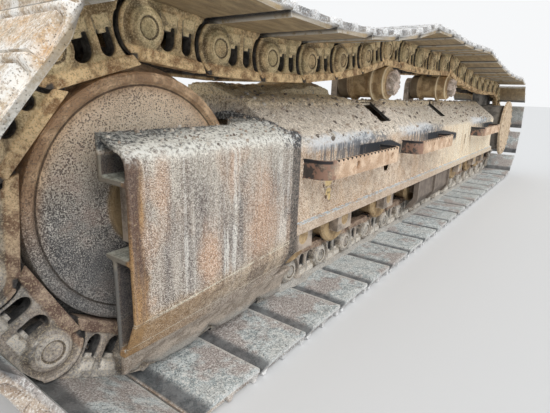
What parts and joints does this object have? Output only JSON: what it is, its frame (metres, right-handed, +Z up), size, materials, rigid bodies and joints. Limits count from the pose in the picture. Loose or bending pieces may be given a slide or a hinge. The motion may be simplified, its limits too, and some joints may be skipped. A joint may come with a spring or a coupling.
{
  "type": "excavator crawler track unit",
  "caption": "Left crawler track unit of a tracked excavator: shoe and link loop round idler, rollers and sprocket on a hollow track frame with steps.",
  "frame": {"origin": "on the ground, under the middle of the track loop", "axes": "+X along the track to the idler end, +Y outboard to the machine's left, +Z up"},
  "size_m": [4.84, 0.664, 1.0217],
  "materials": {
    "bare_steel": "ground steel",
    "bracket_steel": "dirty plate steel",
    "chain_steel": "forged steel, ochre dust over rust",
    "drive_steel": "dusty dark paint",
    "frame_paint": "worn yellow paint",
    "frame_steel": "rusty plate with pale dirt on its roof",
    "idler_steel": "pitted cast steel with a rusty rim",
    "nose_steel": "worn bare plate with rust streaks",
    "roller_steel": "forged steel, dusty, polished treads",
    "shoe_steel": "worn, dusty rolled steel",
    "sprocket_steel": "cast steel, polished teeth",
    "step_steel": "rusty flat bar"
  },
  "bodies": {
    "track_unit": {"track_shoes": "shoe_steel", "chain_outer": "chain_steel", "chain_inner": "chain_steel", "chain_bushings": "chain_steel", "idler_shaft": "bare_steel", "idler_block_outer": "bracket_steel", "idler_block_inner": "bracket_steel", "idler_yoke": "bracket_steel", "nose_outer": "nose_steel", "nose_inner": "nose_steel", "cross_bar": "nose_steel", "track_frame": "frame_steel", "leg_seat": "frame_steel", "step_front": "step_steel", "step_middle": "step_steel", "step_rear": "step_steel", "track_roller_1": "roller_steel", "track_roller_2": "roller_steel", "track_roller_3": "roller_steel", "track_roller_4": "roller_steel", "track_roller_5": "roller_steel", "track_roller_6": "roller_steel", "track_roller_7": "roller_steel", "track_roller_8": "roller_steel", "roller_brackets": "bracket_steel", "carrier_roller_front": "roller_steel", "carrier_roller_rear": "roller_steel", "carrier_stand_front": "bracket_steel", "carrier_stand_rear": "bracket_steel", "chain_guard_outer": "bracket_steel", "chain_guard_inner": "bracket_steel", "sprocket": "sprocket_steel", "drive_hub": "drive_steel", "drive_cover": "drive_steel", "drive_bracket": "drive_steel", "travel_motor": "drive_steel", "pad_front": "frame_paint", "pad_rear": "frame_paint"},
    "idler": {"idler_wheel": "idler_steel"}
  },
  "joints": [
    {"name": "idler_spin", "type": "hinge", "parent": "track_unit", "child": "idler", "pos_m": [1.95927, 0, 0.46898], "axis": [0, 1, 0], "continuous": true}
  ]
}
